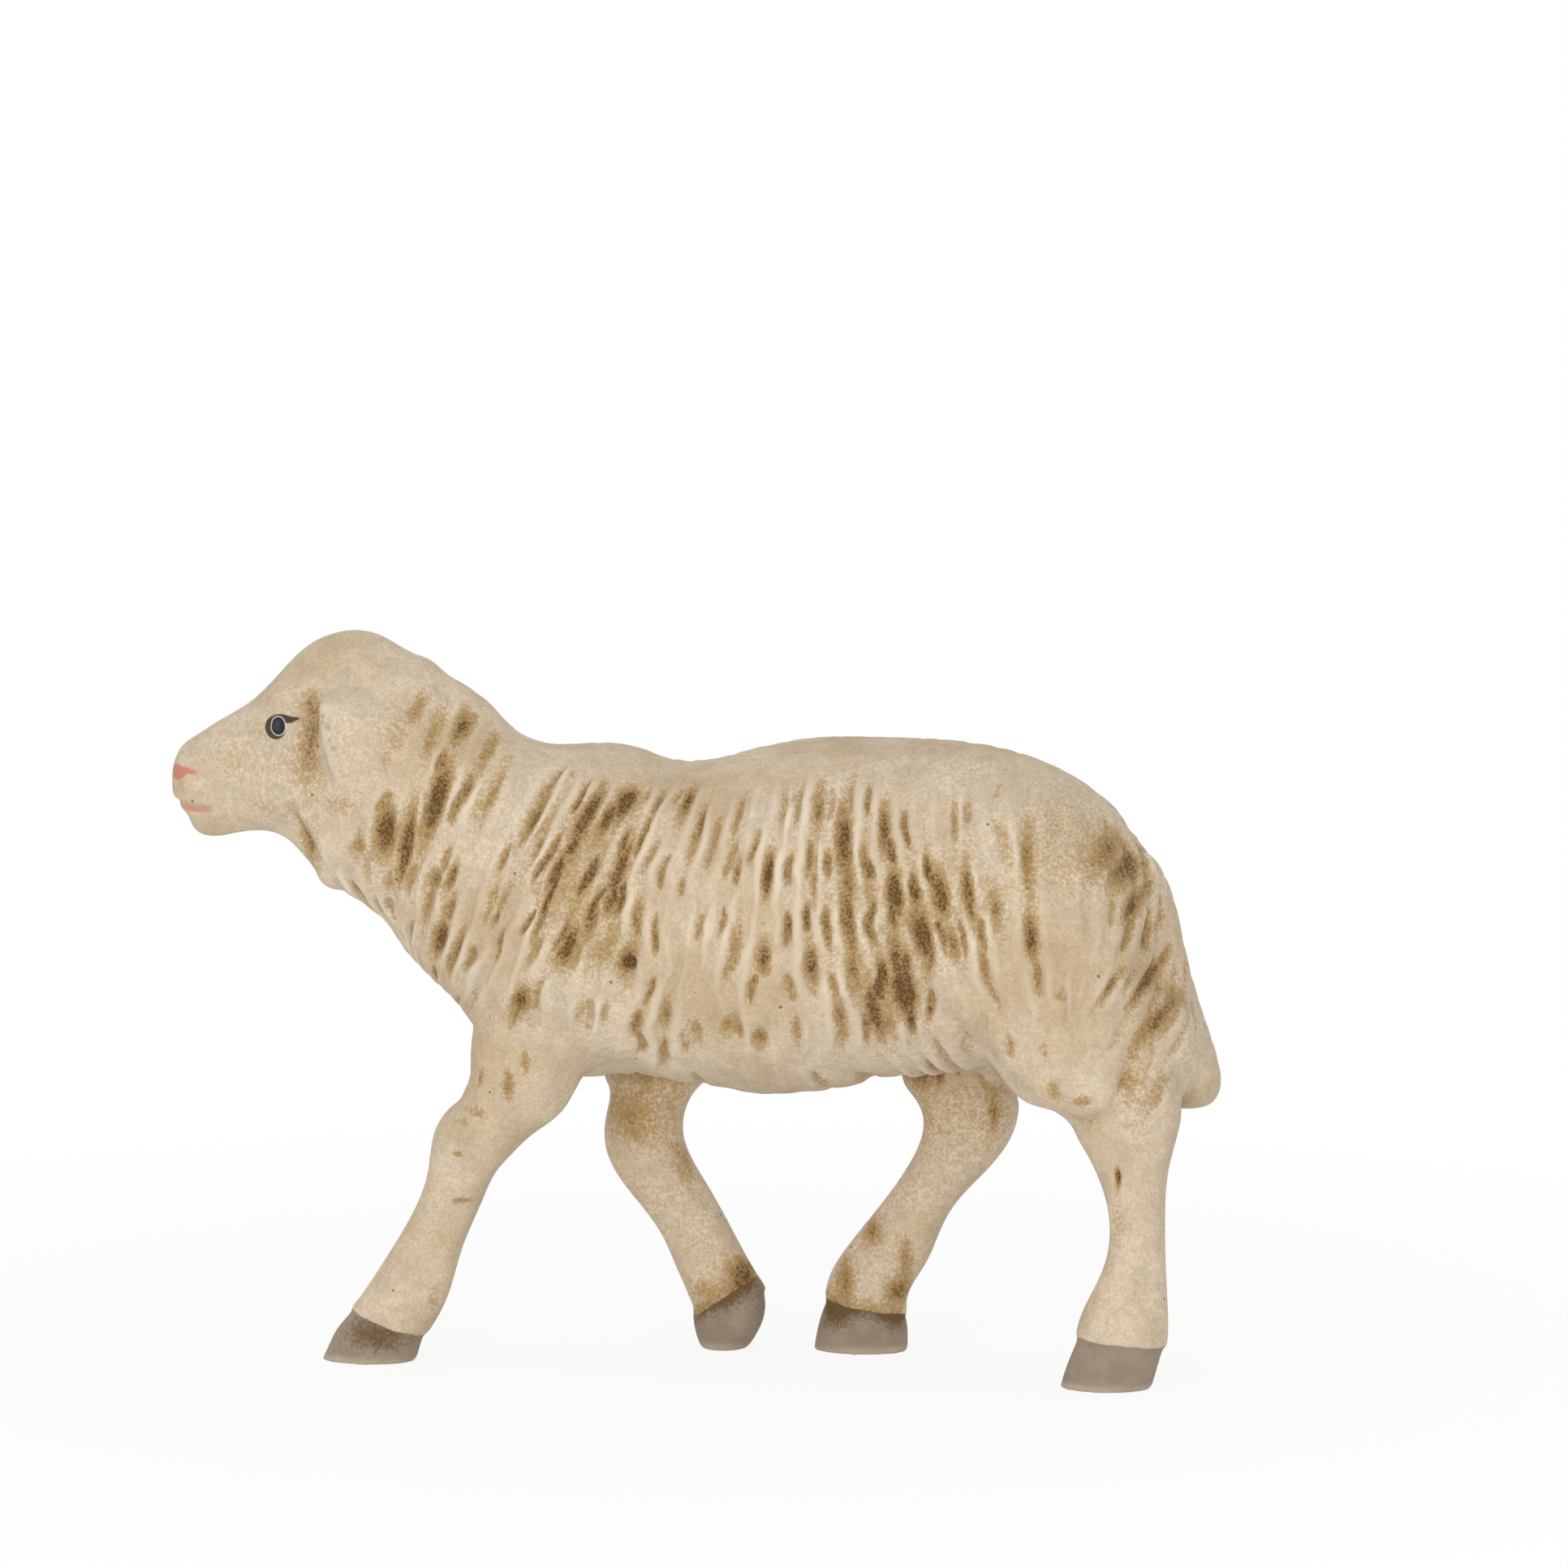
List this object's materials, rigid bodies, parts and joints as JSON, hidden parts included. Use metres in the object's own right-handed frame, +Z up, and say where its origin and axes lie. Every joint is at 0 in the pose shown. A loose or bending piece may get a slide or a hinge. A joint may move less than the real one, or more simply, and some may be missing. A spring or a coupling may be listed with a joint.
{
  "type": "sheep figurine",
  "caption": "Small walking sheep figurine in cast composition, a hollow trunk carrying head, drooping ears, hanging tail and wired legs on grey hooves, hand-painted cream with a brown wash.",
  "frame": {"origin": "on the ground under the middle of the figure's box, half way from nose to tail", "axes": "+Z up, +X from head to tail, +Y towards the sheep's right side"},
  "size_m": [0.082, 0.025, 0.0557],
  "materials": {
    "fleece": "matt cream paint with a brown wash left in the grooves of the fleece",
    "shank": "smooth matt cream paint, lightly washed brown",
    "hoof": "matt warm grey paint, washed brown at the rim",
    "wire": "drawn steel wire"
  },
  "bodies": {
    "root": {"trunk_left_half": "fleece", "trunk_right_half": "fleece", "head": "fleece", "ear_left": "fleece", "ear_right": "fleece", "tail": "fleece", "shank_front_left": "shank", "shank_front_right": "shank", "shank_hind_left": "shank", "shank_hind_right": "shank", "hoof_front_left": "hoof", "hoof_front_right": "hoof", "hoof_hind_left": "hoof", "hoof_hind_right": "hoof", "leg_wire_front_left": "wire", "leg_wire_front_right": "wire", "leg_wire_hind_left": "wire", "leg_wire_hind_right": "wire", "neck_wire": "wire"}
  },
  "joints": []
}
